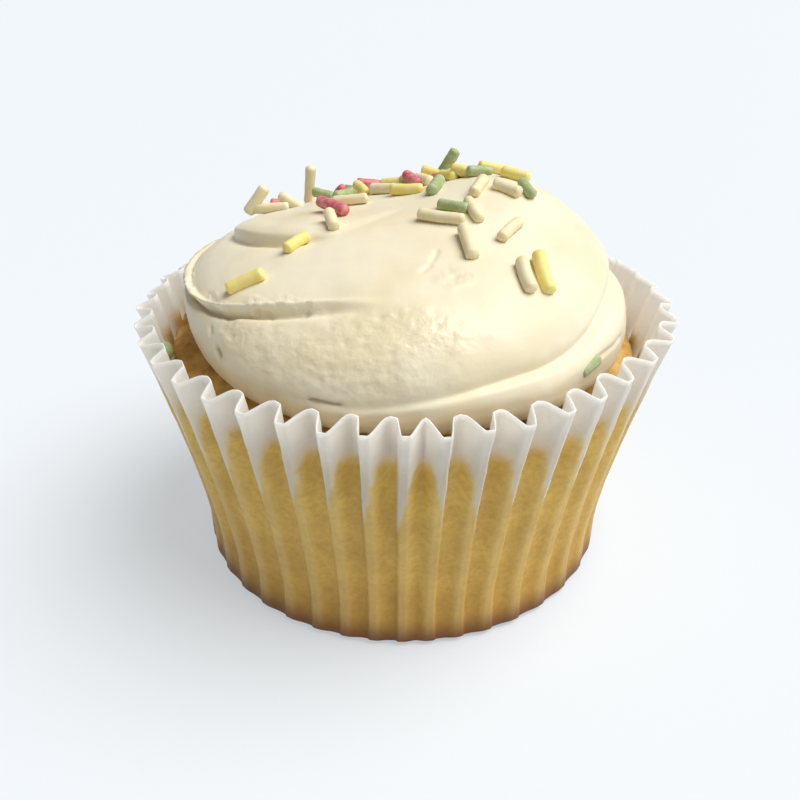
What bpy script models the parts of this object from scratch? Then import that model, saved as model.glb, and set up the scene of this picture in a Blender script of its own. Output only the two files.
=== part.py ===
"""A cupcake: a sponge baked in a pleated paper case, with a swirl of buttercream on top.

Metres, +Z up. The cupcake stands on the ground plane with its front towards -Y. An azimuth
is counted from that front, turning towards +X, so 90 degrees is the right-hand side.
"""

import math
from collections import namedtuple

import bmesh
import bpy
import numpy as np

MM = 0.001

# Paper case: a 51 mm baking case with a 31 mm wall, opened out by the rising cake.
BASE_RADIUS = 25.5 * MM
BASE_CORNER = 0.7 * MM  # the wall turns into the floor over this radius
FOLD_TOP = 30.4 * MM  # rim height on the outer folds
LOBE_TOP = 31.3 * MM  # rim height between them, where the paper stands steeper
FLARE_START = 5.0 * MM  # height at which the wall begins to lean out
FLARE = 4.9 * MM  # how far the folds lean out from there to the rim
FLARE_CURVE = 1.35
PAPER = 0.35 * MM
RIM_SHIFT = (0.35 * MM, 0.6 * MM)  # the open rim is pushed this far to the right and back
RIM_OVAL = 0.95 * MM  # it is this much wider to the left and to the right
RIM_DENT = 1.0 * MM  # and pressed in this much at the front right
DENT_AZIMUTH = math.radians(50)
DENT_REACH = math.radians(17)
WALL_HEIGHTS = (8.0 * MM, 15.0 * MM, 22.0 * MM)  # rings between floor and rim

# Pleats. A fold is flat outside, falls in steeply on one side and slopes in on the other.
PLEATS = 42
FOOT_DEPTH = 0.2 * MM  # depth of the pleats at the floor
FOOT_TOP = 7.0 * MM
PRESSED_DEPTH = 0.6 * MM  # depth from here up, where the cake presses them flat
OPEN_DEPTH = 2.15 * MM  # and at the open rim
PRESSED_TOP = 12.0 * MM  # the pleats deepen above this height
DEEPENING = 1.15 * (LOBE_TOP - PRESSED_TOP)  # and would be fully open this much higher
# Places across a pleat, counted from the middle of its fold, and how far out each stands.
PLEAT_PROFILE = ((-0.38, 0.0), (-0.21, 0.08), (-0.13, 1.0), (0.13, 1.0), (0.43, 0.15))
TURNED_PLEATS = range(1, 22)  # on the right-hand half the folds lie the other way round
# The pleats are not even: waves, once, twice and three times round, in degrees.
PLEAT_DRIFT = ((1, -1.5, -1.3), (2, -1.4, -0.9), (3, -2.1, 0.6))
FIRST_PLEAT = 1.1  # azimuth of the first fold, in degrees

# Sponge: presses the pleats apart low down, and rounds over inside the rim.
GAP = 0.3 * MM
FLUTE_FILL = 0.7  # low down the flutes fill this share of a pleat's depth
FLUTE_PLACES = (0.0, 0.5)  # shares of a pleat at which a flute stands out and lies in
CRUST_TOP = 26.0 * MM  # the cake leaves the paper at this height
CRUST_SHOULDER = ((0.6 * MM, 26.7 * MM), (2.0 * MM, 27.4 * MM))  # way in, height
CRUST_DOME = ((20.0 * MM, 29.0 * MM), (10.0 * MM, 31.2 * MM))  # radius, height
CRUST_CENTRE = 32.0 * MM
CRUST_TILT = 0.035  # it has risen higher on the left, in mm a mm

# Buttercream: a dome spread in two turns, each lying over the one before.
ICING_RADIUS = {"front": 26.9 * MM, "right": 25.4 * MM, "back": 25.2 * MM, "left": 24.9 * MM}
ICING_WAIST = {"front": 30.6 * MM, "right": 29.4 * MM, "back": 31.0 * MM, "left": 33.6 * MM}
ICING_EDGE = {"front": 28.0 * MM, "right": 27.8 * MM, "back": 28.4 * MM, "left": 29.6 * MM}
ICING_TUCK = 1.4 * MM  # the lower edge turns in by this much under the waist
ICING_TOP = 41.5 * MM
ICING_LEAN = 1.7 * MM  # the top lies this far to the right of the middle
ICING_SLANT = (0.05, -0.03)  # the top rises to the right and to the front, in mm a mm
ICING_ROUND = 2.15  # power of the dome's curve: 2 is an ellipse, more is squarer
SWELL_CENTRE = (13.5 * MM, 4.3 * MM)  # where the last of the icing came off the knife
SWELL_HEIGHT = 3.2 * MM
SWELL_REACH = 9.8 * MM
WAIST_SHARE = 0.18  # share of the way up the side that lies below the waist
TUCK_TURN = math.radians(80)  # how far the side has curled under at its lower edge
SIDE_LENGTH = 34.0  # length of the way up the side, in millimetres
ICING_COLUMNS = 66
ICING_ROWS = 26
EDGE_LIP = 1.2 * MM  # the underside meets the cake this far in from the edge

# Seams of the swirl. Each row of a path: azimuth in degrees, share of the way up the side,
# depth of the groove, and how far the icing stands out below and above it, in millimetres.
Seam = namedtuple("Seam", "path groove_width reach_below reach_above")
TURN_SEAM = Seam(
    path=(
        (-95, 0.22, 0.0, 0.0, 0.0),
        (-70, 0.22, 0.15, 0.1, -0.1),
        (-45, 0.21, 0.3, 0.2, -0.2),
        (-10, 0.19, 0.3, 0.2, -0.2),
        (15, 0.22, 0.4, 0.3, -0.3),
        (33, 0.28, 0.6, 0.4, -0.5),
        (46, 0.335, 0.8, 0.4, -0.5),
        (56, 0.385, 0.9, 0.3, -0.4),
        (70, 0.40, 0.9, 0.1, -0.3),
        (90, 0.38, 0.9, -0.4, -0.3),
        (115, 0.34, 0.8, -0.9, -0.7),
        (150, 0.35, 0.7, -0.3, -0.1),
        (190, 0.41, 0.6, 0.0, 0.0),
        (240, 0.50, 0.4, 0.2, 0.6),
        (265, 0.57, 0.3, 0.0, 1.3),
        (285, 0.635, 0.4, -0.8, 1.4),
        (293, 0.68, 0.4, -0.7, 0.9),
        (299, 0.73, 0.2, -0.3, 0.3),
        (305, 0.77, 0.0, 0.0, 0.0),
    ),
    groove_width=1.0,
    reach_below=6.0,
    reach_above=4.5,
)
KNIFE_SEAM = Seam(
    path=(
        (-230, 0.05, 0.0, 0.0, 0.0),
        (-180, 0.14, -0.3, 0.0, -0.2),
        (-130, 0.22, -0.5, 0.0, 0.1),
        (-90, 0.265, -0.8, -0.2, 0.0),
        (-70, 0.295, -0.9, -0.3, -0.4),
        (-52, 0.39, -0.8, -0.2, -0.4),
        (-40, 0.46, -0.7, -0.2, -0.3),
        (-26, 0.54, -0.5, -0.1, -0.3),
        (-8, 0.585, 0.0, 0.0, -0.1),
        (10, 0.60, 0.0, 0.0, 0.0),
    ),
    groove_width=0.65,
    reach_below=3.0,
    reach_above=4.0,
)
STEP_WIDTH = 0.5
NEAR = 1e-3  # how far apart the dome is read to find which way it faces

CASE_WHITE = (0.86, 0.82, 0.78, 1.0)
SPONGE_GOLD = (0.66, 0.42, 0.14, 1.0)
BUTTER_CREAM = (0.86, 0.80, 0.62, 1.0)


def smooth(x):
    """0 below 0, 1 above 1, and an even S between."""
    x = np.clip(x, 0.0, 1.0)
    return x * x * (3.0 - 2.0 * x)


def on_plan(azimuth, radius, z):
    """Points at an azimuth, a radius and a height."""
    return np.stack([radius * np.sin(azimuth), -radius * np.cos(azimuth), z + 0.0 * radius], -1)


def around(azimuth, sides):
    """A size given on the four sides, blended evenly between them."""
    ahead, across = np.cos(azimuth), np.sin(azimuth)
    along = np.where(ahead > 0, sides["front"], sides["back"])
    beside = np.where(across > 0, sides["right"], sides["left"])
    return along * ahead**2 + beside * across**2


def through(x, knots, values):
    """Smooth curve through the knots: a cubic between each two, level past the ends."""
    knots, values = np.asarray(knots, float), np.asarray(values, float)
    slopes = np.gradient(values, knots)
    slopes[0] = slopes[-1] = 0.0
    x = np.clip(x, knots[0], knots[-1])
    i = np.clip(np.searchsorted(knots, x, side="right") - 1, 0, len(knots) - 2)
    width = knots[i + 1] - knots[i]
    t = (x - knots[i]) / width
    rise = values[i + 1] - values[i]
    start, end = slopes[i] * width, slopes[i + 1] * width
    bend = t**2 * (3 * rise - 2 * start - end) + t**3 * (start + end - 2 * rise)
    return values[i] + t * start + bend


# ---------------------------------------------------------------- paper case


def pleat_azimuth(turn):
    """Azimuth of a place counted in pleats from the first fold."""
    even = 2 * math.pi * np.asarray(turn, float) / PLEATS
    drift = sum(s * np.sin(k * even) + c * np.cos(k * even) for k, s, c in PLEAT_DRIFT)
    return even + np.radians(FIRST_PLEAT + drift)


def rim_shift(z):
    """How far the wall has moved to the right and to the back at a height."""
    share = (np.asarray(z, float) / FOLD_TOP) ** 2
    return np.stack([RIM_SHIFT[0] * share, RIM_SHIFT[1] * share], -1)


def rim_push(azimuth, z):
    """How far the wall stands out of round at a height."""
    dent = RIM_DENT * np.exp(-(((azimuth - DENT_AZIMUTH) / DENT_REACH) ** 2))
    return (RIM_OVAL * np.sin(azimuth) ** 4 - dent) * (z / FOLD_TOP) ** 2


def fold_radius(z):
    rise = np.clip((z - FLARE_START) / (FOLD_TOP - FLARE_START), 0.0, None)
    return BASE_RADIUS + FLARE * rise**FLARE_CURVE


def pleat_depth(z):
    pressed = FOOT_DEPTH + (PRESSED_DEPTH - FOOT_DEPTH) * smooth(z / FOOT_TOP)
    opening = smooth((z - PRESSED_TOP) / DEEPENING) / smooth((LOBE_TOP - PRESSED_TOP) / DEEPENING)
    return pressed + (OPEN_DEPTH - PRESSED_DEPTH) * opening


def wall_ring(turns, folds, z, inset=0.0):
    """A ring of the case's wall; folds is 1 on an outer fold and 0 between two."""
    azimuths = pleat_azimuth(turns)
    radius = fold_radius(z) + rim_push(azimuths, z) - pleat_depth(z) * (1.0 - folds) - inset
    ring = on_plan(azimuths, radius, z)
    ring[:, :2] += rim_shift(z)
    return ring


def floor_ring(ring, z, inset):
    """The ring drawn in towards the middle and set down at a height."""
    reach = np.hypot(ring[:, 0], ring[:, 1])
    drawn = ring * ((reach - inset) / reach)[:, None]
    drawn[:, 2] = z
    return drawn


def pleat_line():
    """Places round the wall, counted in pleats, and how far out the paper stands at each."""
    line = []
    for pleat in range(PLEATS):
        turned = pleat in TURNED_PLEATS
        line += [(pleat - share if turned else pleat + share, out) for share, out in PLEAT_PROFILE]
    places, folds = zip(*sorted(line))
    return np.array(places), np.array(folds)


def case_rings():
    places, folds = pleat_line()
    rim_heights = LOBE_TOP + (FOLD_TOP - LOBE_TOP) * folds

    outside = [wall_ring(places, folds, z) for z in (BASE_CORNER, *WALL_HEIGHTS, rim_heights)]
    inside = [wall_ring(places, folds, z, PAPER) for z in (PAPER, *WALL_HEIGHTS, rim_heights)]
    return [floor_ring(outside[0], 0.0, BASE_CORNER), *outside, *inside[::-1]]


# ---------------------------------------------------------------- sponge


def crust_profile():
    """Radii and heights of the cake's round top, from its edge to the middle."""
    side = fold_radius(CRUST_TOP) - pleat_depth(CRUST_TOP) - PAPER - GAP
    return [(side - inset, z) for inset, z in CRUST_SHOULDER] + list(CRUST_DOME)


def crust_height(points):
    """Height of the cake's top under the given points."""
    radii, heights = zip(*sorted([(0.0, CRUST_CENTRE), *crust_profile()]))
    reach = np.linalg.norm(points[:, :2] - rim_shift(CRUST_TOP), axis=1)
    level = np.interp(reach, radii, heights)
    return level - CRUST_TILT * points[:, 0]


def sponge_rings():
    """The cake's side follows the pleats at a gap, with two places to each pleat."""
    places = np.array([pleat + share for pleat in range(PLEATS) for share in FLUTE_PLACES])
    flutes = np.tile([1.0, 0.0], PLEATS)

    def side(z):
        fill = FLUTE_FILL * (1.0 - smooth((z - PRESSED_TOP) / (CRUST_TOP - PRESSED_TOP)))
        return wall_ring(places, flutes * fill, z, PAPER + GAP)

    top = CRUST_TOP - CRUST_TILT * side(CRUST_TOP)[:, 0]
    rings = [side(z) for z in (PAPER + GAP, *WALL_HEIGHTS, top)]
    azimuths = pleat_azimuth(places)
    edge = crust_profile()[0][0]
    for radius, _ in crust_profile():
        push = rim_push(azimuths, CRUST_TOP) * (radius / edge) ** 4
        ring = on_plan(azimuths, radius + push, 0.0)
        ring[:, :2] += rim_shift(CRUST_TOP)
        ring[:, 2] = crust_height(ring)
        rings.append(ring)
    return rings


# ---------------------------------------------------------------- buttercream


def dome(azimuth, share):
    """The plain dome under the swirl; share runs up the side from the lower edge to the top."""
    radius, waist, edge = (around(azimuth, s) for s in (ICING_RADIUS, ICING_WAIST, ICING_EDGE))
    under = (1.0 - np.clip(share / WAIST_SHARE, 0, 1)) * TUCK_TURN
    over = np.clip((share - WAIST_SHARE) / (1 - WAIST_SHARE), 0, 1) * math.pi / 2
    power = 2.0 / ICING_ROUND
    height = np.clip(np.sin(over), 0, 1) ** power
    reach = radius * np.clip(np.cos(over), 0, 1) ** power - ICING_TUCK * (1 - np.cos(under))
    sag = (waist - edge) * np.sin(under) / math.sin(TUCK_TURN)
    points = on_plan(azimuth, reach, waist + (ICING_TOP - waist) * height - sag)
    points[..., 0] += ICING_LEAN * height
    x, y = points[..., 0], points[..., 1]
    off = np.hypot(x - SWELL_CENTRE[0], y - SWELL_CENTRE[1]) / SWELL_REACH
    swell = SWELL_HEIGHT * np.exp(-(off**2))
    points[..., 2] += (ICING_SLANT[0] * x + ICING_SLANT[1] * y + swell) * height
    return points


def seam_relief(azimuth, share, seam):
    """How far one seam's groove and step move the surface out."""
    angles, shares, grooves, belows, aboves = zip(*seam.path)
    relief = 0.0
    for turn in (-360.0, 0.0, 360.0):
        angle = np.degrees(azimuth) + turn
        on_seam = (angle > angles[0]) & (angle < angles[-1])
        across = (share - through(angle, angles, shares)) * SIDE_LENGTH
        upper = 0.5 + 0.5 * np.tanh(across / STEP_WIDTH)
        below = through(angle, angles, belows) * np.exp(np.minimum(across, 0) / seam.reach_below)
        above = through(angle, angles, aboves) * np.exp(-np.maximum(across, 0) / seam.reach_above)
        groove = through(angle, angles, grooves) * np.exp(-((across / seam.groove_width) ** 2))
        relief = relief + on_seam * (below * (1 - upper) + above * upper - groove)
    return relief


def icing_surface(azimuth, share):
    """The swirl: the dome with its seams pressed in and its turns standing out."""
    lower, upper = np.clip(share - NEAR, 0, 1), np.clip(share + NEAR, 0, 1)
    around_it = dome(azimuth + NEAR, share) - dome(azimuth - NEAR, share)
    normal = np.cross(around_it, dome(azimuth, upper) - dome(azimuth, lower))
    normal /= np.maximum(np.linalg.norm(normal, axis=-1, keepdims=True), 1e-12)
    relief = seam_relief(azimuth, share, TURN_SEAM) + seam_relief(azimuth, share, KNIFE_SEAM)
    relief = relief * MM
    settled = smooth(share / 0.05) * smooth((1 - share) / 0.12)
    return dome(azimuth, share) + normal * (relief * settled)[..., None]


def icing_rings():
    """Rings over the cake and then up the side, and the middle of each patch of the side."""
    azimuths = 2 * math.pi * np.arange(ICING_COLUMNS) / ICING_COLUMNS
    shares = np.arange(ICING_ROWS) / ICING_ROWS
    side = [icing_surface(azimuths, np.full(ICING_COLUMNS, s)) for s in shares]
    under = [on_plan(azimuths, np.full(ICING_COLUMNS, r), 0.0) for r, _ in CRUST_DOME[::-1]]
    for ring in under:
        ring[:, :2] += rim_shift(CRUST_TOP)
    under.append(floor_ring(side[0], 0.0, EDGE_LIP))
    for ring in under:
        ring[:, 2] = crust_height(ring) + GAP
    between = azimuths + math.pi / ICING_COLUMNS
    halfway = shares[:-1] + 0.5 / ICING_ROWS
    middles = [icing_surface(between, np.full(ICING_COLUMNS, s)) for s in halfway]
    return under + side, middles


# ---------------------------------------------------------------- building


def paint(name, colour, roughness, metallic=0.0):
    material = bpy.data.materials.new(name)
    material.use_nodes = True
    shader = material.node_tree.nodes["Principled BSDF"]
    shader.inputs["Base Color"].default_value = colour
    shader.inputs["Roughness"].default_value = roughness
    shader.inputs["Metallic"].default_value = metallic
    return material


def skin(name, start, rings, end, material, middles=()):
    """Closed body over rings of equally many points, which closes to a point at each end.

    Where the middles of a row's patches are given, each patch is split along the diagonal
    that lies closer to the real surface there.
    """
    body = bmesh.new()
    rows = [[body.verts.new(point) for point in ring] for ring in rings]
    count = len(rows[0])
    first, last = body.verts.new(start), body.verts.new(end)
    for i in range(count):
        j = (i + 1) % count
        body.faces.new((first, rows[0][j], rows[0][i]))
        body.faces.new((rows[-1][i], rows[-1][j], last))
        for k, (low, high) in enumerate(zip(rows, rows[1:])):
            split = k - (len(rows) - 1 - len(middles))
            if split < 0:
                body.faces.new((low[i], low[j], high[j], high[i]))
                continue
            middle = middles[split][i]
            rising = np.array((low[i].co + high[j].co) / 2) - middle
            falling = np.array((low[j].co + high[i].co) / 2) - middle
            if np.dot(rising, rising) < np.dot(falling, falling):
                body.faces.new((low[i], low[j], high[j]))
                body.faces.new((low[i], high[j], high[i]))
            else:
                body.faces.new((low[i], low[j], high[i]))
                body.faces.new((low[j], high[j], high[i]))
    mesh = bpy.data.meshes.new(name)
    body.to_mesh(mesh)
    body.free()
    mesh.materials.append(material)
    mesh.shade_smooth()
    mesh.set_sharp_from_angle(angle=math.radians(50))
    piece = bpy.data.objects.new(name, mesh)
    bpy.context.collection.objects.link(piece)
    return piece


def make_paper_case():
    rings = case_rings()
    skin("paper_case", (0, 0, 0), rings, (0, 0, PAPER), paint("greaseproof_paper", CASE_WHITE, 0.6))


def make_sponge():
    low = (0, 0, PAPER + GAP)
    skin("sponge", low, sponge_rings(), (0, 0, CRUST_CENTRE), paint("sponge_cake", SPONGE_GOLD, 0.85))


def make_icing():
    rings, middles = icing_rings()
    top = icing_surface(np.zeros(1), np.ones(1))[0]
    material = paint("buttercream", BUTTER_CREAM, 0.4)
    skin("icing", (0, 0, CRUST_CENTRE + GAP), rings, top, material, middles)


def main():
    for thing in list(bpy.data.objects):
        bpy.data.objects.remove(thing, do_unlink=True)
    make_paper_case()
    make_sponge()
    make_icing()


main()
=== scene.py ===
"""Cupcake: pleated paper case, sponge, spread buttercream and sugar strands.

Laid out as an add-on: each piece has an operator, and its sizes and colours have properties.
Metres, +Z up, front towards -Y. An azimuth or a bearing is counted from the front towards +X.
"""

import math
from collections import namedtuple

import bmesh
import bpy
import numpy as np
from bpy.props import FloatProperty, FloatVectorProperty, IntProperty, PointerProperty
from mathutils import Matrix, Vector
from mathutils.bvhtree import BVHTree


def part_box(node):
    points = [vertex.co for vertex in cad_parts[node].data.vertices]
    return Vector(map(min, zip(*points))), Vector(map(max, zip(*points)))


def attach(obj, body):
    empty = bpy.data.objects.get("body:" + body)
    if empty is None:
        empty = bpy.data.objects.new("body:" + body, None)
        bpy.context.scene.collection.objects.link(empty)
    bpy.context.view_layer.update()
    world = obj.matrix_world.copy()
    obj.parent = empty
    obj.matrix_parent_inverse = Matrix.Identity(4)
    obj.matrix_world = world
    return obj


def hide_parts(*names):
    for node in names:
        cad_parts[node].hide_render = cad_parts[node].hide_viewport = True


bl_info = {
    "name": "Buttercream Cupcake",
    "version": (1, 0, 0),
    "blender": (4, 5, 0),
    "location": "3D View > Sidebar > Cupcake",
    "description": "Builds a buttercream cupcake in its pleated paper case",
    "category": "Object",
}

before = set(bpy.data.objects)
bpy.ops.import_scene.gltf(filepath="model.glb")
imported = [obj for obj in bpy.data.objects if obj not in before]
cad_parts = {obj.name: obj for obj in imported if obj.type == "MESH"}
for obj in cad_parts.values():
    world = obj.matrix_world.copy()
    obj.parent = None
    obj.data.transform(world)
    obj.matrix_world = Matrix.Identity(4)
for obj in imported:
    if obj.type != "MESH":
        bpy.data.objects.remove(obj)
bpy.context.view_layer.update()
RIM_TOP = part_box("paper_case")[1].z

MM = 0.001


def linear(code, alpha=1.0):
    """An sRGB hex colour as linear red, green, blue and alpha."""
    shares = [int(code[i : i + 2], 16) / 255 for i in (0, 2, 4)]
    lit = [s / 12.92 if s <= 0.04045 else ((s + 0.055) / 1.055) ** 2.4 for s in shares]
    return (*lit, alpha)


# ---------------------------------------------------------------- properties


def length(name, description, default, low=0.0):
    return FloatProperty(
        name=name, description=description, default=default, min=low, unit="LENGTH", precision=5
    )


def angle(name, description, degrees):
    return FloatProperty(
        name=name, description=description, default=math.radians(degrees), subtype="ANGLE"
    )


def colour(name, description, code):
    return FloatVectorProperty(
        name=name,
        description=description,
        default=linear(code),
        size=4,
        min=0.0,
        max=1.0,
        subtype="COLOR",
    )


class CUPCAKE_PG_case(bpy.types.PropertyGroup):
    pleats: IntProperty(name="Pleats", description="Number of pleats round the case", default=42)
    base_radius: length("Base Radius", "Radius of the folds at the floor", 25.5 * MM)
    rim_height: length("Rim Height", "Height of the rim between the folds", RIM_TOP)
    fold_drop: length("Fold Drop", "How much lower the rim is on a fold", 0.9 * MM)
    flare_start: length("Flare Start", "Height at which the wall leans out", 5.0 * MM)
    flare: length("Flare", "How far the folds lean out up to the rim", 4.9 * MM)
    flare_curve: FloatProperty(
        name="Flare Curve", description="Power of the flare's curve", default=1.35
    )
    foot_depth: length("Foot Depth", "Depth of the pleats at the floor", 0.2 * MM)
    pressed_depth: length("Pressed Depth", "Depth of the pleats low down", 0.6 * MM)
    open_depth: length("Open Depth", "Depth of the pleats at the rim", 2.15 * MM)
    rim_oval: length("Rim Oval", "How much wider the rim is left and right", 0.95 * MM)
    rim_dent: length("Rim Dent", "How far the rim is pressed in at the front right", 1.0 * MM)
    paper: length("Paper", "Thickness of the paper", 0.12 * MM)
    crinkle: length("Crinkle", "Height of the paper's crinkles", 0.4 * MM)
    seed: IntProperty(name="Seed", description="Seed of the unevenness", default=4)
    white: colour("White", "Paper that stands clear of the cake", "fbeedb")
    # Beige band just above the cake: butter soaked into the paper, and painted shade of the gap
    # between cake and icing behind it.
    stained_and_shaded: colour("Stained", "Paper that has taken butter from the cake", "dcbd88")
    golden: colour("Golden", "Paper that sticks to the cake", "e2b452")


class CUPCAKE_PG_sponge(bpy.types.PropertyGroup):
    crumb: length("Crumb", "Size of the crust's bumps", 1.6 * MM)
    relief: length("Relief", "Height of the crust's bumps", 0.35 * MM)
    crust: colour("Crust", "Baked crust", "dfb866")
    browned: colour("Browned", "Darker spots of the crust", "b98438")


class CUPCAKE_PG_buttercream(bpy.types.PropertyGroup):
    spread: length("Spread", "Height of the waves that the knife left", 0.35 * MM)
    streaks: length("Streaks", "Height of the fine knife streaks", 0.05 * MM)
    tear: length("Tear", "Height of the torn patches", 0.2 * MM)
    seed: IntProperty(name="Seed", description="Seed of the spread finish", default=7)
    cream: colour("Cream", "Buttercream", "f3e8cc")
    shade: colour("Butter", "Butterier parts of it", "eddeb8")


class CUPCAKE_PG_strands(bpy.types.PropertyGroup):
    diameter: length("Diameter", "Diameter of a sugar strand", 1.35 * MM)
    seed: IntProperty(name="Seed", description="Seed of the strands' bends", default=11)
    red: colour("Red", "Red strands", "d8616a")
    yellow: colour("Yellow", "Yellow strands", "f6e37c")
    green: colour("Green", "Green strands", "a3b276")
    cream: colour("Cream", "Undyed strands", "f0e2b4")


class CUPCAKE_PG_stage(bpy.types.PropertyGroup):
    floor: colour("Floor", "Floor", "a1a4a6")
    glow: FloatProperty(
        name="Glow", description="Light that the opal floor gives of its own", default=0.5
    )
    sky: colour("Sky", "Light from all round", "eaf1fb")
    sky_strength: FloatProperty(
        name="Sky Strength", description="Strength of the light from all round", default=0.22
    )
    key_strength: FloatProperty(
        name="Key Strength", description="Strength of the large soft light", default=3.6
    )
    key_bearing: angle("Key Bearing", "Bearing of the large soft light", 88)
    key_height: angle("Key Height", "Height angle of the large soft light", 61)
    key_width: angle("Key Width", "Angle that the soft light covers", 50)


# ---------------------------------------------------------------- node trees


def add(tree, kind, inputs=(), **settings):
    """Adds a node with its settings. Inputs go by name or in order: a value, node or socket."""
    node = tree.nodes.new(kind)
    for name, value in settings.items():
        setattr(node, name, value)
    shown = [s for s in node.inputs if s.enabled]
    given = inputs if isinstance(inputs, dict) else dict(enumerate(inputs))
    for key, value in given.items():
        target = shown[key] if isinstance(key, int) else next(s for s in shown if s.name == key)
        if isinstance(value, bpy.types.Node):
            value = next(s for s in value.outputs if s.enabled)
        if isinstance(value, bpy.types.NodeSocket):
            tree.links.new(value, target)
        else:
            target.default_value = value
    return node


def maths(tree, operation, *values, **settings):
    """Adds a Math node."""
    return add(tree, "ShaderNodeMath", values, operation=operation, **settings)


def ranged(tree, value, start=0.0, end=1.0, low=0.0, high=1.0, eased=False, clamp=True):
    """Adds a Map Range node: it goes from low to high while the value goes from start to end."""
    inputs = {"Value": value, "From Min": start, "From Max": end, "To Min": low, "To Max": high}
    kind = "SMOOTHSTEP" if eased else "LINEAR"
    return add(tree, "ShaderNodeMapRange", inputs, interpolation_type=kind, clamp=clamp)


def mixed(tree, share, first, second):
    """Adds a mix of two colours: all of the second where the share is 1."""
    inputs = {"Factor": share, "A": first, "B": second}
    return add(tree, "ShaderNodeMix", inputs, data_type="RGBA")


def noisy(tree, size, detail=2.0, roughness=0.5, vector=None, seed=None):
    """Adds a noise of a size in metres. In a geometry tree it can go by the position alone."""
    inputs = {"Scale": 1 / size, "Detail": detail, "Roughness": roughness}
    if vector is not None:
        inputs["Vector"] = vector
    if seed is not None:
        inputs["W"] = seed
    kind = "3D" if seed is None else "4D"
    return add(tree, "ShaderNodeTexNoise", inputs, noise_dimensions=kind)


def bumpy(tree, height, distance, strength, below=None):
    """Adds a bump, on top of another one if that is given."""
    inputs = {"Strength": strength, "Distance": distance, "Height": height}
    if below is not None:
        inputs["Normal"] = below
    return add(tree, "ShaderNodeBump", inputs)


def shape_curve(node, points):
    """Gives a Float Curve its points, without overshoot between them."""
    curve = node.mapping.curves[0]
    while len(curve.points) < len(points):
        curve.points.new(0.5, 0.5)
    for point, place in zip(curve.points, points):
        point.location = place
        point.handle_type = "VECTOR"
    node.mapping.update()


def shape_ramp(node, stops):
    """Gives a Color Ramp its stops, each a place and a colour."""
    ramp = node.color_ramp
    while len(ramp.elements) < len(stops):
        ramp.elements.new(1.0)
    for element, (place, shade) in zip(ramp.elements, stops):
        element.position = place
        element.color = shade


def geometry_tree(name, sockets):
    """A Geometry Nodes tree with named inputs, and its Group Input node."""
    tree = bpy.data.node_groups.new(name, "GeometryNodeTree")
    tree.interface.new_socket("Geometry", in_out="OUTPUT", socket_type="NodeSocketGeometry")
    tree.interface.new_socket("Geometry", in_out="INPUT", socket_type="NodeSocketGeometry")
    for label, kind in sockets:
        tree.interface.new_socket(label, in_out="INPUT", socket_type=f"NodeSocket{kind}")
    return tree, add(tree, "NodeGroupInput").outputs


def finish_tree(tree, geometry, relief, material):
    """Ends a tree: relief along the normal, smooth, then Realize Instances and Set Material."""
    inputs = {"Vector": add(tree, "GeometryNodeInputNormal"), "Scale": relief}
    offset = add(tree, "ShaderNodeVectorMath", inputs, operation="SCALE")
    shaped = add(tree, "GeometryNodeSetPosition", {"Geometry": geometry, "Offset": offset})
    shaped = add(tree, "GeometryNodeSetShadeSmooth", {"Geometry": shaped})
    real = add(tree, "GeometryNodeRealizeInstances", (shaped,))
    painted = add(tree, "GeometryNodeSetMaterial", {"Geometry": real, "Material": material})
    add(tree, "NodeGroupOutput", (painted,))


def grown(name, tree, values, start=None, wall=None):
    """The plain mesh object that a tree makes of a start mesh, with a wall's thickness."""
    piece = bpy.data.objects.new(name, start or bpy.data.meshes.new(name))
    bpy.context.collection.objects.link(piece)
    modifier = piece.modifiers.new(tree.name, "NODES")
    modifier.node_group = tree
    for item in tree.interface.items_tree:
        if item.name in values:
            modifier[item.identifier] = values[item.name]
    if wall:
        solid = piece.modifiers.new("Wall", "SOLIDIFY")
        solid.thickness = wall
        solid.offset = -1.0
    shaped = piece.evaluated_get(bpy.context.evaluated_depsgraph_get())
    mesh = bpy.data.meshes.new_from_object(shaped)
    piece.modifiers.clear()
    piece.data = mesh
    mesh.name = name
    return piece


def principled(name, rest=None):
    """A material with its tree and shader; rest holds plain values for the shader's sockets."""
    material = bpy.data.materials.new(name)
    material.use_nodes = True
    tree = material.node_tree
    shader = tree.nodes["Principled BSDF"]
    for socket, value in (rest or {}).items():
        shader.inputs[socket].default_value = value
    return material, tree, shader


def feed(tree, shader, socket, source):
    """Links a node to one of the shader's sockets."""
    tree.links.new(next(s for s in source.outputs if s.enabled), shader.inputs[socket])


def values_of(group, labels):
    """A property group's values, by the labels that a tree's inputs have."""
    return {label: getattr(group, label.lower().replace(" ", "_")) for label in labels}


# ---------------------------------------------------------------- paper case

CASE_INPUTS = (
    *("Base Radius", "Rim Height", "Fold Drop", "Flare Start", "Flare", "Flare Curve"),
    *("Foot Depth", "Pressed Depth", "Open Depth", "Rim Oval", "Rim Dent", "Crinkle"),
)
FOOT_TOP = 7.0 * MM  # the pleats have their pressed depth from here up
PRESSED_TOP = 12.0 * MM  # and deepen above this height
DEEPENING = 22.2 * MM  # and would be fully open this much higher
# Places across a pleat and how far out the paper stands there, 1 on the fold.
FOLD_CURVE = (
    (0.0, 0.08),
    (0.12, 0.0),
    (0.28, 0.09),
    (0.365, 1.0),
    (0.63, 1.0),
    (0.92, 0.2),
    (1.0, 0.08),
)
# On the right-hand half, these pleats, the folds lie the other way round.
TURNED_MIDDLE, TURNED_REACH = 11.0, 10.5
# The pleats are not even: waves, once, twice and three times round, in degrees.
PLEAT_DRIFT = ((1, -1.5, -1.3), (2, -1.4, -0.9), (3, -2.1, 0.6))
FIRST_PLEAT = 1.1  # azimuth of the first fold, in degrees
CASE_COLUMNS = 18  # to a pleat
CASE_ROWS = 50
FLOOR_SHARE = 0.1  # of the rows lie in the floor
BASE_CORNER = 0.7 * MM
RIM_SHIFT = (0.35 * MM, 0.6 * MM)  # the rim is pushed this far to the right and back
DENT_AZIMUTH = math.radians(50)
DENT_REACH = math.radians(17)
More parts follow.
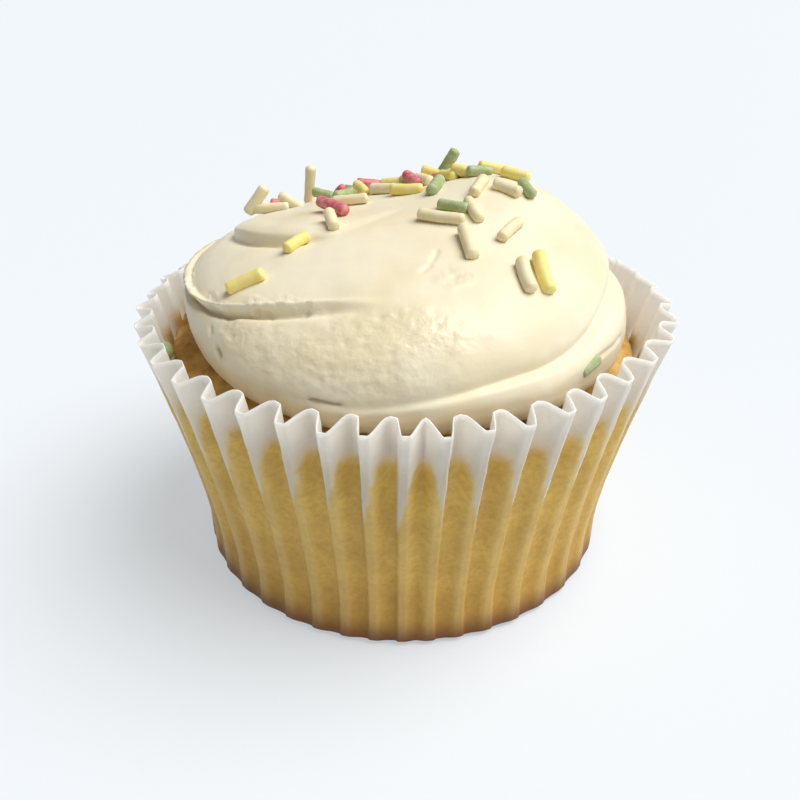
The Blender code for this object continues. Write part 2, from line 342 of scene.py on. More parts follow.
# The paper comes away from the cake in a wedge up each fold, from its crisp side.
WEDGE_POINT, WEDGE_TOP = 17.3 * MM, 27.5 * MM
WEDGE_START, WEDGE_END = -0.2, 0.36  # shares of a pleat
CRUST_TOP = 26.3 * MM  # the cake leaves the paper at this height
CRUST_TILT = 0.035  # it has risen higher on the left, in mm a mm
STUCK_END = (CRUST_TOP - 1.1 * MM, CRUST_TOP + 0.9 * MM)  # the golden paper fades out here
# How uneven the pleats are: the rim's height, the pleats' depth as a share, the wedges' height.
RIM_UNEVEN, DEPTH_UNEVEN, WEDGE_UNEVEN = 0.25 * MM, 0.12, 0.9 * MM
# The wedge's soft side is ragged, in shares of a pleat, and both sides have a little width.
RAGGED_SIZE, RAGGEDNESS = 1.4 * MM, 0.28
SOFT_EDGE, CRISP_EDGE = (-0.1, 0.07), (-0.03, 0.01)
CRINKLE_SIZE, CRINKLE_LEVEL = 4.5 * MM, 0.55
PRESSED_SHARE = 0.1  # of relief left where paper and cake press each other flat
# The paper's colours: sizes of the crumb and of the blotches that show through, how dark they
# are, the brown band at the foot, and the heights between which the beige band fades out. That
# band is butter soaked into the paper, and painted shade of the gap between cake and icing.
CRUMB_SIZE, BLOTCH_SIZE, SPOT_SHARE = 0.65 * MM, 4.0 * MM, 0.32
FOOT_BAND = 4.2 * MM
STAIN_AND_SHADE_END = (CRUST_TOP - 1.0 * MM, CRUST_TOP + 3.2 * MM)


def pleated_case_tree():
    """Case as a grid of columns round and rows up, wrapped into a pleated wall and a floor."""
    sockets = [("Pleats", "Int"), *((label, "Float") for label in CASE_INPUTS)]
    tree, given = geometry_tree("Pleated Case", [*sockets, ("Seed", "Int"), ("Paper", "Material")])

    columns = maths(tree, "MULTIPLY_ADD", given["Pleats"], CASE_COLUMNS, 1.0)
    grid = add(
        tree,
        "GeometryNodeMeshGrid",
        {"Size X": 1.0, "Size Y": 1.0, "Vertices X": columns, "Vertices Y": CASE_ROWS + 1},
    )
    place = add(tree, "ShaderNodeSeparateXYZ", (add(tree, "GeometryNodeInputPosition"),))
    across = maths(tree, "ADD", place.outputs["X"], 0.5)
    turn = maths(tree, "MULTIPLY", across, given["Pleats"])

    # The pleat, the place within it, and how far out the paper stands there.
    nearest = maths(tree, "ADD", turn, 0.5)
    nearest = maths(tree, "FLOOR", nearest)
    pleat = maths(tree, "FLOORED_MODULO", nearest, given["Pleats"])
    turned = maths(tree, "COMPARE", pleat, TURNED_MIDDLE, TURNED_REACH)
    facing = maths(tree, "MULTIPLY_ADD", turned, -2.0, 1.0)
    within = maths(tree, "SUBTRACT", turn, nearest)
    within = maths(tree, "MULTIPLY", within, facing)
    curve_place = maths(tree, "ADD", within, 0.5)
    fold = add(tree, "ShaderNodeFloatCurve", {"Value": curve_place})
    shape_curve(fold, FOLD_CURVE)
    chance = add(
        tree,
        "FunctionNodeRandomValue",
        {"Min": -1.0, "Max": 1.0, "ID": pleat, "Seed": given["Seed"]},
        data_type="FLOAT",
    )
    uneven = maths(tree, "MULTIPLY", chance, fold)

    # Azimuth: even, but for the drift.
    even = maths(tree, "MULTIPLY", across, 2 * math.pi)
    phases = [math.atan2(c, s) for _, s, c in PLEAT_DRIFT]
    reaches = [math.radians(math.hypot(s, c)) for _, s, c in PLEAT_DRIFT]
    waves = add(
        tree,
        "ShaderNodeVectorMath",
        {"Vector": [k for k, _, _ in PLEAT_DRIFT], "Scale": even},
        operation="SCALE",
    )
    waves = add(tree, "ShaderNodeVectorMath", (waves, phases), operation="ADD")
    waves = add(tree, "ShaderNodeVectorMath", (waves,), operation="SINE")
    drift = add(tree, "ShaderNodeVectorMath", (waves, reaches), operation="DOT_PRODUCT")
    azimuth = maths(tree, "ADD", even, drift.outputs["Value"])
    azimuth = maths(tree, "ADD", azimuth, math.radians(FIRST_PLEAT))

    # Height: the first rows make the floor, the rest the wall up to the uneven rim.
    up = maths(tree, "ADD", place.outputs["Y"], 0.5)
    floor = ranged(tree, up, end=FLOOR_SHARE)
    rise = ranged(tree, up, start=FLOOR_SHARE)
    rim = maths(tree, "MULTIPLY", fold, given["Fold Drop"])
    rim = maths(tree, "SUBTRACT", given["Rim Height"], rim)
    rim = maths(tree, "MULTIPLY_ADD", uneven, RIM_UNEVEN, rim)
    height = maths(tree, "MULTIPLY", rise, rim)

    # Radius: the folds lean out, and the pleats fall in from them.
    fold_top = maths(tree, "SUBTRACT", given["Rim Height"], given["Fold Drop"])
    lean = ranged(tree, height, start=given["Flare Start"], end=fold_top, clamp=False)
    lean = maths(tree, "MAXIMUM", lean, 0.0)
    lean = maths(tree, "POWER", lean, given["Flare Curve"])
    outer = maths(tree, "MULTIPLY_ADD", lean, given["Flare"], given["Base Radius"])
    pressed = ranged(
        tree, height, end=FOOT_TOP, low=given["Foot Depth"], high=given["Pressed Depth"], eased=True
    )
    opened = maths(tree, "SUBTRACT", given["Open Depth"], given["Pressed Depth"])
    opening = ranged(tree, height, start=PRESSED_TOP, end=PRESSED_TOP + DEEPENING, eased=True)
    # The rim lies below the full opening, which this share makes up for.
    at_rim = (RIM_TOP - PRESSED_TOP) / DEEPENING
    opening = maths(tree, "MULTIPLY", opening, 1 / (at_rim**2 * (3 - 2 * at_rim)))
    opening = maths(tree, "MULTIPLY_ADD", opening, opened, pressed)
    depth = maths(tree, "MULTIPLY_ADD", uneven, DEPTH_UNEVEN, 1.0)
    depth = maths(tree, "MULTIPLY", depth, opening)
    inward = maths(tree, "SUBTRACT", 1.0, fold)
    inward = maths(tree, "MULTIPLY", inward, depth)
    radius = maths(tree, "SUBTRACT", outer, inward)

    # Out of round towards the rim: wider left and right, and dented at the front right.
    sine = maths(tree, "SINE", azimuth)
    up_share = maths(tree, "DIVIDE", height, fold_top)
    up_share = maths(tree, "POWER", up_share, 2.0)
    sideways = maths(tree, "MULTIPLY", sine, sine)
    sideways = maths(tree, "POWER", sideways, 2.0)
    push = maths(tree, "MULTIPLY", sideways, given["Rim Oval"])
    off = maths(tree, "SUBTRACT", azimuth, DENT_AZIMUTH)
    off = maths(tree, "DIVIDE", off, DENT_REACH)
    off = maths(tree, "MULTIPLY", off, off)
    dent = maths(tree, "POWER", 1 / math.e, off)
    dent = maths(tree, "MULTIPLY", dent, given["Rim Dent"])
    push = maths(tree, "SUBTRACT", push, dent)
    radius = maths(tree, "MULTIPLY_ADD", push, up_share, radius)
    corner = ranged(tree, height, end=BASE_CORNER, low=BASE_CORNER, high=0.0, eased=True)
    radius = maths(tree, "SUBTRACT", radius, corner)
    radius = maths(tree, "MULTIPLY", radius, floor)

    # Place in space, with the rim pushed over.
    cosine = maths(tree, "COSINE", azimuth)
    ahead = maths(tree, "MULTIPLY", cosine, -1.0)
    right, back = (maths(tree, "MULTIPLY", up_share, shift) for shift in RIM_SHIFT)
    x = maths(tree, "MULTIPLY_ADD", sine, radius, right)
    y = maths(tree, "MULTIPLY_ADD", ahead, radius, back)
    wrapped = add(tree, "ShaderNodeCombineXYZ", (x, y, height))

    # Where the paper sticks to the cake: up to an arch between the folds, less the wedges.
    tilt = maths(tree, "MULTIPLY_ADD", x, CRUST_TILT, height)
    stuck = ranged(tree, tilt, start=STUCK_END[0], end=STUCK_END[1], low=1.0, high=0.0, eased=True)
    wedge_height = maths(tree, "MULTIPLY_ADD", chance, WEDGE_UNEVEN, height)
    wedge_side = ranged(
        tree,
        wedge_height,
        start=WEDGE_POINT,
        end=WEDGE_TOP,
        low=WEDGE_START,
        high=WEDGE_END,
        clamp=False,
    )
    ragged = noisy(tree, RAGGED_SIZE, vector=wrapped)
    ragged = maths(tree, "SUBTRACT", ragged, 0.5)
    ragged = maths(tree, "MULTIPLY_ADD", ragged, RAGGEDNESS, within)
    beyond = maths(tree, "SUBTRACT", ragged, wedge_side)
    soft_side = ranged(
        tree, beyond, start=SOFT_EDGE[0], end=SOFT_EDGE[1], low=1.0, high=0.0, eased=True
    )
    crisp_side = ranged(
        tree, within, start=WEDGE_START + CRISP_EDGE[0], end=WEDGE_START + CRISP_EDGE[1], eased=True
    )
    wedge = maths(tree, "MULTIPLY", soft_side, crisp_side)
    clear = maths(tree, "SUBTRACT", 1.0, wedge)
    stuck = maths(tree, "MULTIPLY", stuck, clear)

    shell = grid
    for label, value in (("fold", fold), ("stuck", stuck)):
        shell = add(
            tree,
            "GeometryNodeStoreNamedAttribute",
            {"Geometry": shell, "Name": label, "Value": value},
            data_type="FLOAT",
            domain="POINT",
        )
    shell = add(tree, "GeometryNodeSetPosition", {"Geometry": shell, "Position": wrapped})
    shell = add(tree, "GeometryNodeMergeByDistance", {"Geometry": shell, "Distance": 0.01 * MM})

    # Crinkles, which fade out where the cake presses the paper flat.
    noise = noisy(tree, CRINKLE_SIZE, detail=3.0, roughness=0.6)
    wave = maths(tree, "SUBTRACT", noise, CRINKLE_LEVEL)
    above = add(tree, "ShaderNodeSeparateXYZ", (add(tree, "GeometryNodeInputPosition"),))
    above = above.outputs["Z"]
    loose = ranged(tree, above, start=BASE_CORNER, end=CRUST_TOP, low=PRESSED_SHARE)
    wave = maths(tree, "MULTIPLY", wave, loose)
    wave = maths(tree, "MULTIPLY", wave, given["Crinkle"])
    finish_tree(tree, shell, wave, given["Paper"])
    return tree


def greaseproof_paper(case):
    """Greaseproof paper: bleached pulp, beaten and pressed thin. It is matt and lets light
    through; where it sticks to the cake it shows the golden sponge. A beige band above that
    is butter soaked into the paper, and painted shade of the gap between cake and icing."""
    material, tree, shader = principled(
        "greaseproof_paper",
        {
            "Subsurface Radius": (1.0, 1.0, 1.0),
            "Subsurface Scale": 0.8 * MM,
            "IOR": 1.47,
            "Specular IOR Level": 0.3,
        },
    )
    place = add(tree, "ShaderNodeTexCoord").outputs["Object"]
    height = add(tree, "ShaderNodeSeparateXYZ", (place,)).outputs["Z"]
    stuck, fold = (
        add(tree, "ShaderNodeAttribute", attribute_name=label).outputs["Fac"]
        for label in ("stuck", "fold")
    )

    # Sponge seen through the paper: brown at the foot, golden up the side, mottled by crumb.
    through_paper = ranged(tree, height, end=CRUST_TOP)
    sponge = add(tree, "ShaderNodeValToRGB", (through_paper,))
    shape_ramp(sponge, ((0.0, linear("b98636")), (0.3, case.golden), (1.0, linear("e9c464"))))
    crumb = noisy(tree, CRUMB_SIZE, detail=4.0, roughness=0.65, vector=place)
    blotches = noisy(tree, BLOTCH_SIZE, vector=place)
    for texture in (crumb, blotches):
        spots = ranged(tree, texture, start=0.4, end=0.66, high=SPOT_SHARE)
        sponge = mixed(tree, spots, sponge, linear("a8772a"))
    # A fold low down has air behind it, and is paler.
    airy = ranged(tree, fold, start=0.5, high=0.3)
    sponge = mixed(tree, airy, sponge, linear("e4c888"))

    foot = ranged(tree, height, end=FOOT_BAND, low=0.9, high=0.0, eased=True)
    sponge = mixed(tree, foot, sponge, linear("642b0f"))

    # Clear paper, with a beige band just above the cake: butter soaked into the paper, and
    # painted shade of the gap between cake and icing behind it.
    stain_and_shade_height = maths(tree, "MULTIPLY_ADD", crumb, 1.5 * MM, height)
    stain_and_shade = ranged(
        tree,
        stain_and_shade_height,
        start=STAIN_AND_SHADE_END[0],
        end=STAIN_AND_SHADE_END[1],
        low=0.5,
        high=0.0,
        eased=True,
    )
    paper = mixed(tree, stain_and_shade, case.white, case.stained_and_shaded)
    paper = mixed(tree, stuck, paper, sponge)
    feed(tree, shader, "Base Color", paper)

    # Pulp fibres, a few tenths of a millimetre, drawn a little coarse so that they show.
    fibre = noisy(tree, 0.5 * MM, vector=place)
    bump = bumpy(tree, fibre, 0.06 * MM, 0.35)
    crumb_bump = bumpy(tree, crumb, 0.16 * MM, 0.5, below=bump)
    feed(tree, shader, "Normal", crumb_bump)
    gloss = ranged(tree, stuck, low=0.65, high=0.5)
    feed(tree, shader, "Roughness", gloss)
    # Clear paper lets much light through; against the cake next to none gets out again.
    clear = ranged(tree, stuck, low=0.9, high=0.15)
    feed(tree, shader, "Subsurface Weight", clear)
    return material


class CUPCAKE_OT_paper_case(bpy.types.Operator):
    """Builds the pleated paper case"""

    bl_idname = "cupcake.paper_case"
    bl_label = "Paper Case"

    def execute(self, context):
        case = context.scene.cupcake_case
        values = values_of(case, ("Pleats", *CASE_INPUTS, "Seed"))
        values["Paper"] = greaseproof_paper(case)
        piece = grown("case", pleated_case_tree(), values, wall=case.paper)
        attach(piece, "root")
        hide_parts("paper_case")
        return {"FINISHED"}


# ---------------------------------------------------------------- sponge

CRUST_FREE = (24.5 * MM, 26.5 * MM)  # between these heights the crust comes clear of the paper
CRUST_LEVEL = 0.6  # of the noise that stays where the smooth sponge was
CRUST_CONTRAST = 3.0


def crumb_tree():
    """Roughens a smooth sponge: bumps of crust, pressed flat where the paper holds it."""
    tree, given = geometry_tree(
        "Crumb", (("Crumb", "Float"), ("Relief", "Float"), ("Sponge", "Material"))
    )
    smooth_sponge = add(
        tree, "GeometryNodeSubdivisionSurface", {"Mesh": given["Geometry"], "Level": 3}
    )
    place = add(tree, "GeometryNodeInputPosition")
    height = add(tree, "ShaderNodeSeparateXYZ", (place,)).outputs["Z"]
    scale = maths(tree, "DIVIDE", 1.0, given["Crumb"])
    bumps = add(
        tree, "ShaderNodeTexNoise", {"Vector": place, "Scale": scale, "Detail": 4.0}
    )
    free = ranged(tree, height, start=CRUST_FREE[0], end=CRUST_FREE[1], low=PRESSED_SHARE)
    wave = maths(tree, "SUBTRACT", bumps, CRUST_LEVEL)
    wave = maths(tree, "MULTIPLY", wave, free)
    wave = maths(tree, "MULTIPLY", wave, given["Relief"])
    wave = maths(tree, "MULTIPLY", wave, CRUST_CONTRAST)
    finish_tree(tree, smooth_sponge, wave, given["Sponge"])
    return tree


def sponge_cake(sponge):
    """Baked sponge: an aerated egg crumb with a dry golden crust, browned in spots."""
    material, tree, shader = principled("sponge_cake", {"Roughness": 0.75, "IOR": 1.45})
    place = add(tree, "ShaderNodeTexCoord").outputs["Object"]
    browning = noisy(tree, 3.2 * MM, detail=5.0, vector=place)
    share = ranged(tree, browning, start=0.36, end=0.62)
    crust = mixed(tree, share, sponge.crust, sponge.browned)
    feed(tree, shader, "Base Color", crust)
    pores = add(
        tree,
        "ShaderNodeTexVoronoi",
        {"Vector": place, "Scale": 1 / (0.8 * MM)},
        feature="SMOOTH_F1",
    )
    bump = bumpy(tree, pores.outputs["Distance"], 0.25 * MM, 0.8)
    feed(tree, shader, "Normal", bump)
    return material


class CUPCAKE_OT_sponge(bpy.types.Operator):
    """Builds the baked sponge"""

    bl_idname = "cupcake.sponge"
    bl_label = "Sponge"

    def execute(self, context):
        sponge = context.scene.cupcake_sponge
        body = bmesh.new()
        body.from_mesh(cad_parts["sponge"].data)
        bmesh.ops.remove_doubles(body, verts=body.verts, dist=0.01 * MM)
        bmesh.ops.join_triangles(
            body,
            faces=body.faces,
            angle_face_threshold=math.radians(40),
            angle_shape_threshold=math.radians(60),
        )
        mesh = bpy.data.meshes.new("cake")
        body.to_mesh(mesh)
        body.free()
        values = {
            "Crumb": sponge.crumb,
            "Relief": sponge.relief,
            "Sponge": sponge_cake(sponge),
        }
        piece = grown("cake", crumb_tree(), values, start=mesh)
        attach(piece, "root")
        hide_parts("sponge")
        return {"FINISHED"}


# ---------------------------------------------------------------- buttercream

ICING_RADIUS = {"front": 26.9 * MM, "right": 25.4 * MM, "back": 25.2 * MM, "left": 24.9 * MM}
ICING_WAIST = {"front": 30.6 * MM, "right": 29.4 * MM, "back": 31.0 * MM, "left": 33.6 * MM}
ICING_EDGE = {"front": 28.0 * MM, "right": 27.8 * MM, "back": 28.4 * MM, "left": 29.6 * MM}
ICING_TUCK = 1.4 * MM  # the lower edge turns in by this much under the waist
ICING_TOP = 41.5 * MM
ICING_LEAN = 1.7 * MM  # the top lies this far to the right of the middle
ICING_SLANT = (0.05, -0.03)  # the top rises to the right and to the front, in mm a mm
ICING_ROUND = 2.15  # power of the dome's curve: 2 is an ellipse, more is squarer
SWELL_CENTRE = (13.5 * MM, 4.3 * MM)  # where the last of the icing came off the knife
SWELL_HEIGHT = 3.2 * MM
SWELL_REACH = 9.8 * MM
WAIST_SHARE = 0.18  # share of the way up the side that lies below the waist
TUCK_TURN = math.radians(80)  # how far the side has curled under at its lower edge
SIDE_LENGTH = 34.0  # length of the way up the side, in millimetres
ICING_COLUMNS = 600
ICING_ROWS = 155
UNDER_SHARES = (0.95, 0.75, 0.5, 0.25)  # rings of the underside, as shares of the edge
ICING_GAP = 0.3 * MM
NEAR = 1e-3  # how far apart the dome is read to find which way it faces
STEP_WIDTH = 0.33  # of the step at a seam, in millimetres
ICING_INPUTS = ("Spread", "Streaks", "Tear")
WAVE_SIZE, TEAR_SIZE, BUBBLE_SIZE = 8.0 * MM, 1.7 * MM, 1.5 * MM
TEAR_CONTRAST = 2.4
# The knife's streaks, as shares of the icing's radius: about 16 mm long. Their way is stretched
# up the side, which leaves them about 1 mm wide.
STREAK_SIZE, STREAK_STRETCH = 0.625, 22.0

# Seams of the swirl. Each row of a path: azimuth in degrees, share of the way up the side,
# depth of the groove, and how far the icing stands out below and above it, in millimetres.
Seam = namedtuple("Seam", "path groove_width reach_below reach_above")
TURN_SEAM = Seam(
    path=(
        (-95, 0.22, 0.0, 0.0, 0.0),
        (-60, 0.19, 0.0, 0.0, 0.0),
        (-25, 0.175, 0.0, 0.0, -0.05),
        (-10, 0.19, 0.05, 0.05, -0.25),
        (6, 0.232, 0.15, 0.2, -0.5),
        (20, 0.268, 0.35, 0.3, -0.8),
        (34, 0.285, 0.6, 0.4, -0.9),
        (46, 0.325, 0.8, 0.4, -0.8),
        (56, 0.375, 0.9, 0.3, -0.6),
        (70, 0.40, 0.9, 0.1, -0.3),
        (90, 0.38, 0.9, -0.4, -0.3),
        (115, 0.34, 0.8, -0.9, -0.7),
        (150, 0.35, 0.7, -0.3, -0.1),
        (190, 0.41, 0.6, 0.0, 0.0),
        (240, 0.43, 0.4, 0.2, 0.7),
        (260, 0.475, 0.4, -0.2, 1.1),
        (271, 0.545, 0.5, -0.3, 1.3),
        (281, 0.61, 0.6, -0.3, 1.3),
        (292, 0.685, 0.6, -0.3, 1.1),
        (299, 0.73, 0.4, -0.2, 0.8),
        (306, 0.765, 0.1, -0.1, 0.3),
        (312, 0.79, 0.0, 0.0, 0.0),
    ),
    groove_width=1.3,
    reach_below=6.0,
    reach_above=4.5,
)
KNIFE_SEAM = Seam(
    path=(
        (-230, 0.05, 0.0, 0.0, 0.0),
        (-180, 0.14, -0.3, 0.0, -0.2),
        (-130, 0.22, -0.5, 0.0, 0.1),
        (-90, 0.265, -0.8, -0.2, 0.0),
        (-70, 0.295, -0.95, -0.3, -0.3),
        (-52, 0.385, -0.9, -0.2, -0.3),
        (-40, 0.47, -0.8, -0.2, -0.2),
        (-26, 0.545, -0.6, -0.1, -0.2),
        (-8, 0.585, 0.0, 0.0, -0.1),
        (10, 0.60, 0.0, 0.0, 0.0),
    ),
    groove_width=0.42,
    reach_below=3.0,
    reach_above=4.0,
)
# Recess under the knife's lip. The lip is a groove of negative depth, so nine tenths of it,
# turned over and this share of the side lower, undercuts it.
LIP_DROP = 0.032
LIP_RECESS = Seam(
    path=tuple(
        (turn, share - LIP_DROP, -0.9 * groove, 0.0, 0.0)
        for turn, share, groove, _, _ in KNIFE_SEAM.path
    ),
    groove_width=0.6,
    reach_below=1.0,
    reach_above=1.0,
)


def smooth(x):
    """0 below 0, 1 above 1, and an even S between."""
    x = np.clip(x, 0.0, 1.0)
    return x * x * (3.0 - 2.0 * x)


def on_plan(azimuth, radius, z):
    """Points at an azimuth, a radius and a height."""
    return np.stack([radius * np.sin(azimuth), -radius * np.cos(azimuth), z + 0.0 * radius], -1)


def around(azimuth, sides):
    """A size given on the four sides, blended evenly between them."""
    ahead, across = np.cos(azimuth), np.sin(azimuth)
    along = np.where(ahead > 0, sides["front"], sides["back"])
    beside = np.where(across > 0, sides["right"], sides["left"])
    return along * ahead**2 + beside * across**2


def through(x, knots, values):
    """Smooth curve through the knots: a cubic between each two, level past the ends."""
    knots, values = np.asarray(knots, float), np.asarray(values, float)
    slopes = np.gradient(values, knots)
    slopes[0] = slopes[-1] = 0.0
    x = np.clip(x, knots[0], knots[-1])
    i = np.clip(np.searchsorted(knots, x, side="right") - 1, 0, len(knots) - 2)
    width = knots[i + 1] - knots[i]
    t = (x - knots[i]) / width
    rise = values[i + 1] - values[i]
    start, end = slopes[i] * width, slopes[i + 1] * width
    bend = t**2 * (3 * rise - 2 * start - end) + t**3 * (start + end - 2 * rise)
    return values[i] + t * start + bend


def dome(azimuth, share):
    """The plain dome under the swirl; share runs up the side from the lower edge to the top."""
    radius, waist, edge = (around(azimuth, s) for s in (ICING_RADIUS, ICING_WAIST, ICING_EDGE))
    under = (1.0 - np.clip(share / WAIST_SHARE, 0, 1)) * TUCK_TURN
    over = np.clip((share - WAIST_SHARE) / (1 - WAIST_SHARE), 0, 1) * math.pi / 2
    power = 2.0 / ICING_ROUND
    height = np.clip(np.sin(over), 0, 1) ** power
    reach = radius * np.clip(np.cos(over), 0, 1) ** power - ICING_TUCK * (1 - np.cos(under))
    sag = (waist - edge) * np.sin(under) / math.sin(TUCK_TURN)
    points = on_plan(azimuth, reach, waist + (ICING_TOP - waist) * height - sag)
    points[..., 0] += ICING_LEAN * height
    x, y = points[..., 0], points[..., 1]
    off = np.hypot(x - SWELL_CENTRE[0], y - SWELL_CENTRE[1]) / SWELL_REACH
    swell = SWELL_HEIGHT * np.exp(-(off**2))
    points[..., 2] += (ICING_SLANT[0] * x + ICING_SLANT[1] * y + swell) * height
    return points


def seam_relief(azimuth, share, seam):
    """How far one seam's groove and step move the surface out."""
    angles, shares, grooves, belows, aboves = zip(*seam.path)
    relief = 0.0
    for turn in (-360.0, 0.0, 360.0):
        angle = np.degrees(azimuth) + turn
        on_seam = (angle > angles[0]) & (angle < angles[-1])
        across = (share - through(angle, angles, shares)) * SIDE_LENGTH
        upper = 0.5 + 0.5 * np.tanh(across / STEP_WIDTH)
        below = through(angle, angles, belows) * np.exp(np.minimum(across, 0) / seam.reach_below)
        above = through(angle, angles, aboves) * np.exp(-np.maximum(across, 0) / seam.reach_above)
        groove = through(angle, angles, grooves) * np.exp(-((across / seam.groove_width) ** 2))
        relief = relief + on_seam * (below * (1 - upper) + above * upper - groove)
    return relief


# Nicks and creases: the two ends, each an azimuth in degrees and a share, then width and depth
# in millimetres. A negative depth is a ridge.
NICKS = (
    ((-46, 0.225), (-44, 0.208), 0.35, 0.6),
    ((-19, 0.20), (-13, 0.203), 0.16, 0.6),
    ((60, 0.25), (47, 0.25), 0.3, 0.25),
    ((-51, 0.285), (-50, 0.265), 0.25, 0.3),
    ((5, 0.73), (8, 0.765), 0.3, 0.18),
    ((1, 0.69), (4, 0.71), 0.25, 0.2),
)
# Torn patches, where the knife dragged the icing: middle, reach round and up the side, and
# how strongly it is torn.
TORN_PATCHES = (
    ((-22, 0.33), (36, 0.15), 1.0),
    ((-4, 0.47), (24, 0.11), 1.0),
    ((12, 0.66), (8, 0.05), 1.0),
    ((-72, 0.30), (14, 0.03), 2.0),
    ((-54, 0.38), (11, 0.035), 2.0),
    ((-42, 0.46), (8, 0.04), 2.0),
    ((-32, 0.52), (10, 0.03), 1.6),
)


def nick_relief(points, azimuth, share):
    """How far the nicks press the surface in."""
    relief = 0.0
    for start, end, width, depth in NICKS:
        a, b = (dome(np.radians(np.array([az])), np.array([s]))[0] for az, s in (start, end))
        along = np.clip(((points - a) @ (b - a)) / np.dot(b - a, b - a), 0.0, 1.0)
        off = np.linalg.norm(points - a - along[..., None] * (b - a), axis=-1) / MM
        relief = relief - depth * np.exp(-((off / width) ** 2))
    return relief


def torn_share(azimuth, share):
    """How strongly the icing is torn: 0 away from all torn patches."""
    torn = 0.0
    for (middle, height), (reach_round, reach_up), strength in TORN_PATCHES:
        turn = (np.degrees(azimuth) - middle + 180.0) % 360.0 - 180.0
        off = (turn / reach_round) ** 2 + ((share - height) / reach_up) ** 2
        torn = np.maximum(torn, strength * smooth(1.2 - off))
    return torn


def icing_surface(azimuth, share):
    """The swirl: the dome with its seams and nicks pressed in and its turns standing out."""
    lower, upper = np.clip(share - NEAR, 0, 1), np.clip(share + NEAR, 0, 1)
    around_it = dome(azimuth + NEAR, share) - dome(azimuth - NEAR, share)
    normal = np.cross(around_it, dome(azimuth, upper) - dome(azimuth, lower))
    normal /= np.maximum(np.linalg.norm(normal, axis=-1, keepdims=True), 1e-12)
    plain = dome(azimuth, share)
    relief = sum(seam_relief(azimuth, share, s) for s in (TURN_SEAM, KNIFE_SEAM, LIP_RECESS))
    relief = (relief + nick_relief(plain, azimuth, share)) * MM
    settled = smooth(share / 0.05) * smooth((1 - share) / 0.12)
    return plain + normal * (relief * settled)[..., None]


def icing_mesh(sponge_top):
    """Closed icing: rings over the cake and then up the side, with what its finish needs."""
    azimuths = 2 * math.pi * np.arange(ICING_COLUMNS) / ICING_COLUMNS
    shares = np.arange(ICING_ROWS) / ICING_ROWS
    azimuth, share = (grid.T for grid in np.meshgrid(azimuths, shares, indexing="ij"))
    side = icing_surface(azimuth, share)
    under = []
    for part in UNDER_SHARES[::-1]:
        ring = side[0] * part
        ring[:, 2] = [sponge_top(x, y) + ICING_GAP for x, y in ring[:, :2]]
        under.append(ring)
    rings = np.concatenate([under, side])
    middle = (0.0, 0.0, sponge_top(0.0, 0.0) + ICING_GAP)
    top = icing_surface(np.zeros(1), np.ones(1))[0]
    points = np.concatenate([rings.reshape(-1, 3), [middle, top]])

    count, rows = ICING_COLUMNS, len(rings)
    first, last, crown = count * rows, count * rows + 1, count * (rows - 1)
    faces = []
    for i in range(count):
        j = (i + 1) % count
        faces.append((first, j, i))
        faces.append((crown + i, crown + j, last))
        for row in range(rows - 1):
            low, high = row * count, (row + 1) * count
            faces.append((low + i, low + j, high + j, high + i))
    mesh = bpy.data.meshes.new("buttercream")
    mesh.from_pydata(points.tolist(), [], faces)

    blank = np.zeros((len(under), count))
    torn = np.concatenate([blank, torn_share(azimuth, share)]).ravel()
    ups = np.concatenate([blank, share]).ravel()
    turns = np.concatenate([blank + azimuths, azimuth]).ravel()
    stored = {"torn": (torn, (0, 0)), "share": (ups, (0, 1)), "turn": (turns, (0, 0))}
    for label, (values, ends) in stored.items():
        attribute = mesh.attributes.new(label, "FLOAT", "POINT")
        attribute.data.foreach_set("value", np.append(values, ends).astype(np.float32))
    return mesh


def spread_tree():
    """Spread finish: waves and streaks the way the knife went, and torn patches."""
    tree, given = geometry_tree(
        "Spread Finish",
        [*((label, "Float") for label in ICING_INPUTS), ("Seed", "Int"), ("Icing", "Material")],
    )
    place = add(tree, "GeometryNodeInputPosition")
    torn, share, turn = (
        add(tree, "GeometryNodeInputNamedAttribute", {"Name": label}, data_type="FLOAT")
        for label in ("torn", "share", "turn")
    )

    # The way the knife went: slow round the cake, quick up its side.
    sine = maths(tree, "SINE", turn)
    cosine = maths(tree, "COSINE", turn)
    up = maths(tree, "MULTIPLY", share, STREAK_STRETCH)
    knife_way = add(tree, "ShaderNodeCombineXYZ", (sine, cosine, up))
    seed = maths(tree, "MULTIPLY", given["Seed"], 1.0)

    waves = noisy(tree, WAVE_SIZE, vector=place, seed=seed)
    waves = maths(tree, "SUBTRACT", waves, 0.5)
    relief = maths(tree, "MULTIPLY", waves, given["Spread"])
    relief = maths(tree, "MULTIPLY", relief, 2.0)

    streaks = noisy(tree, STREAK_SIZE, detail=4.0, roughness=0.55, vector=knife_way, seed=seed)
    streaks = maths(tree, "SUBTRACT", streaks, 0.5)
    streaks = maths(tree, "MULTIPLY", streaks, given["Streaks"])
    whole = maths(tree, "SUBTRACT", 2.0, torn, use_clamp=True)
    relief = maths(tree, "MULTIPLY_ADD", streaks, whole, relief)

    tears = noisy(tree, TEAR_SIZE, roughness=0.6, vector=place, seed=seed)
    tears = maths(tree, "SUBTRACT", tears, 0.5)
    bubbles = add(
        tree,
        "ShaderNodeTexVoronoi",
        {"Vector": place, "Scale": 1 / BUBBLE_SIZE},
        feature="F1",
    )
    bubbles = ranged(
        tree, bubbles.outputs["Distance"], start=0.12, end=0.34, low=-0.45, high=0.0, eased=True
    )
    tears = maths(tree, "MULTIPLY_ADD", tears, TEAR_CONTRAST, bubbles)
    tears = maths(tree, "MULTIPLY", tears, torn)
    relief = maths(tree, "MULTIPLY_ADD", tears, given["Tear"], relief)

    # Nothing moves at the lower edge or at the middle of the top, where the rings close.
    foot = ranged(tree, share, end=0.05)
    crown = ranged(tree, share, start=0.9, end=1.0, low=1.0, high=0.0)
    relief = maths(tree, "MULTIPLY", relief, foot)
    relief = maths(tree, "MULTIPLY", relief, crown)
    finish_tree(tree, given["Geometry"], relief, given["Icing"])
    return tree


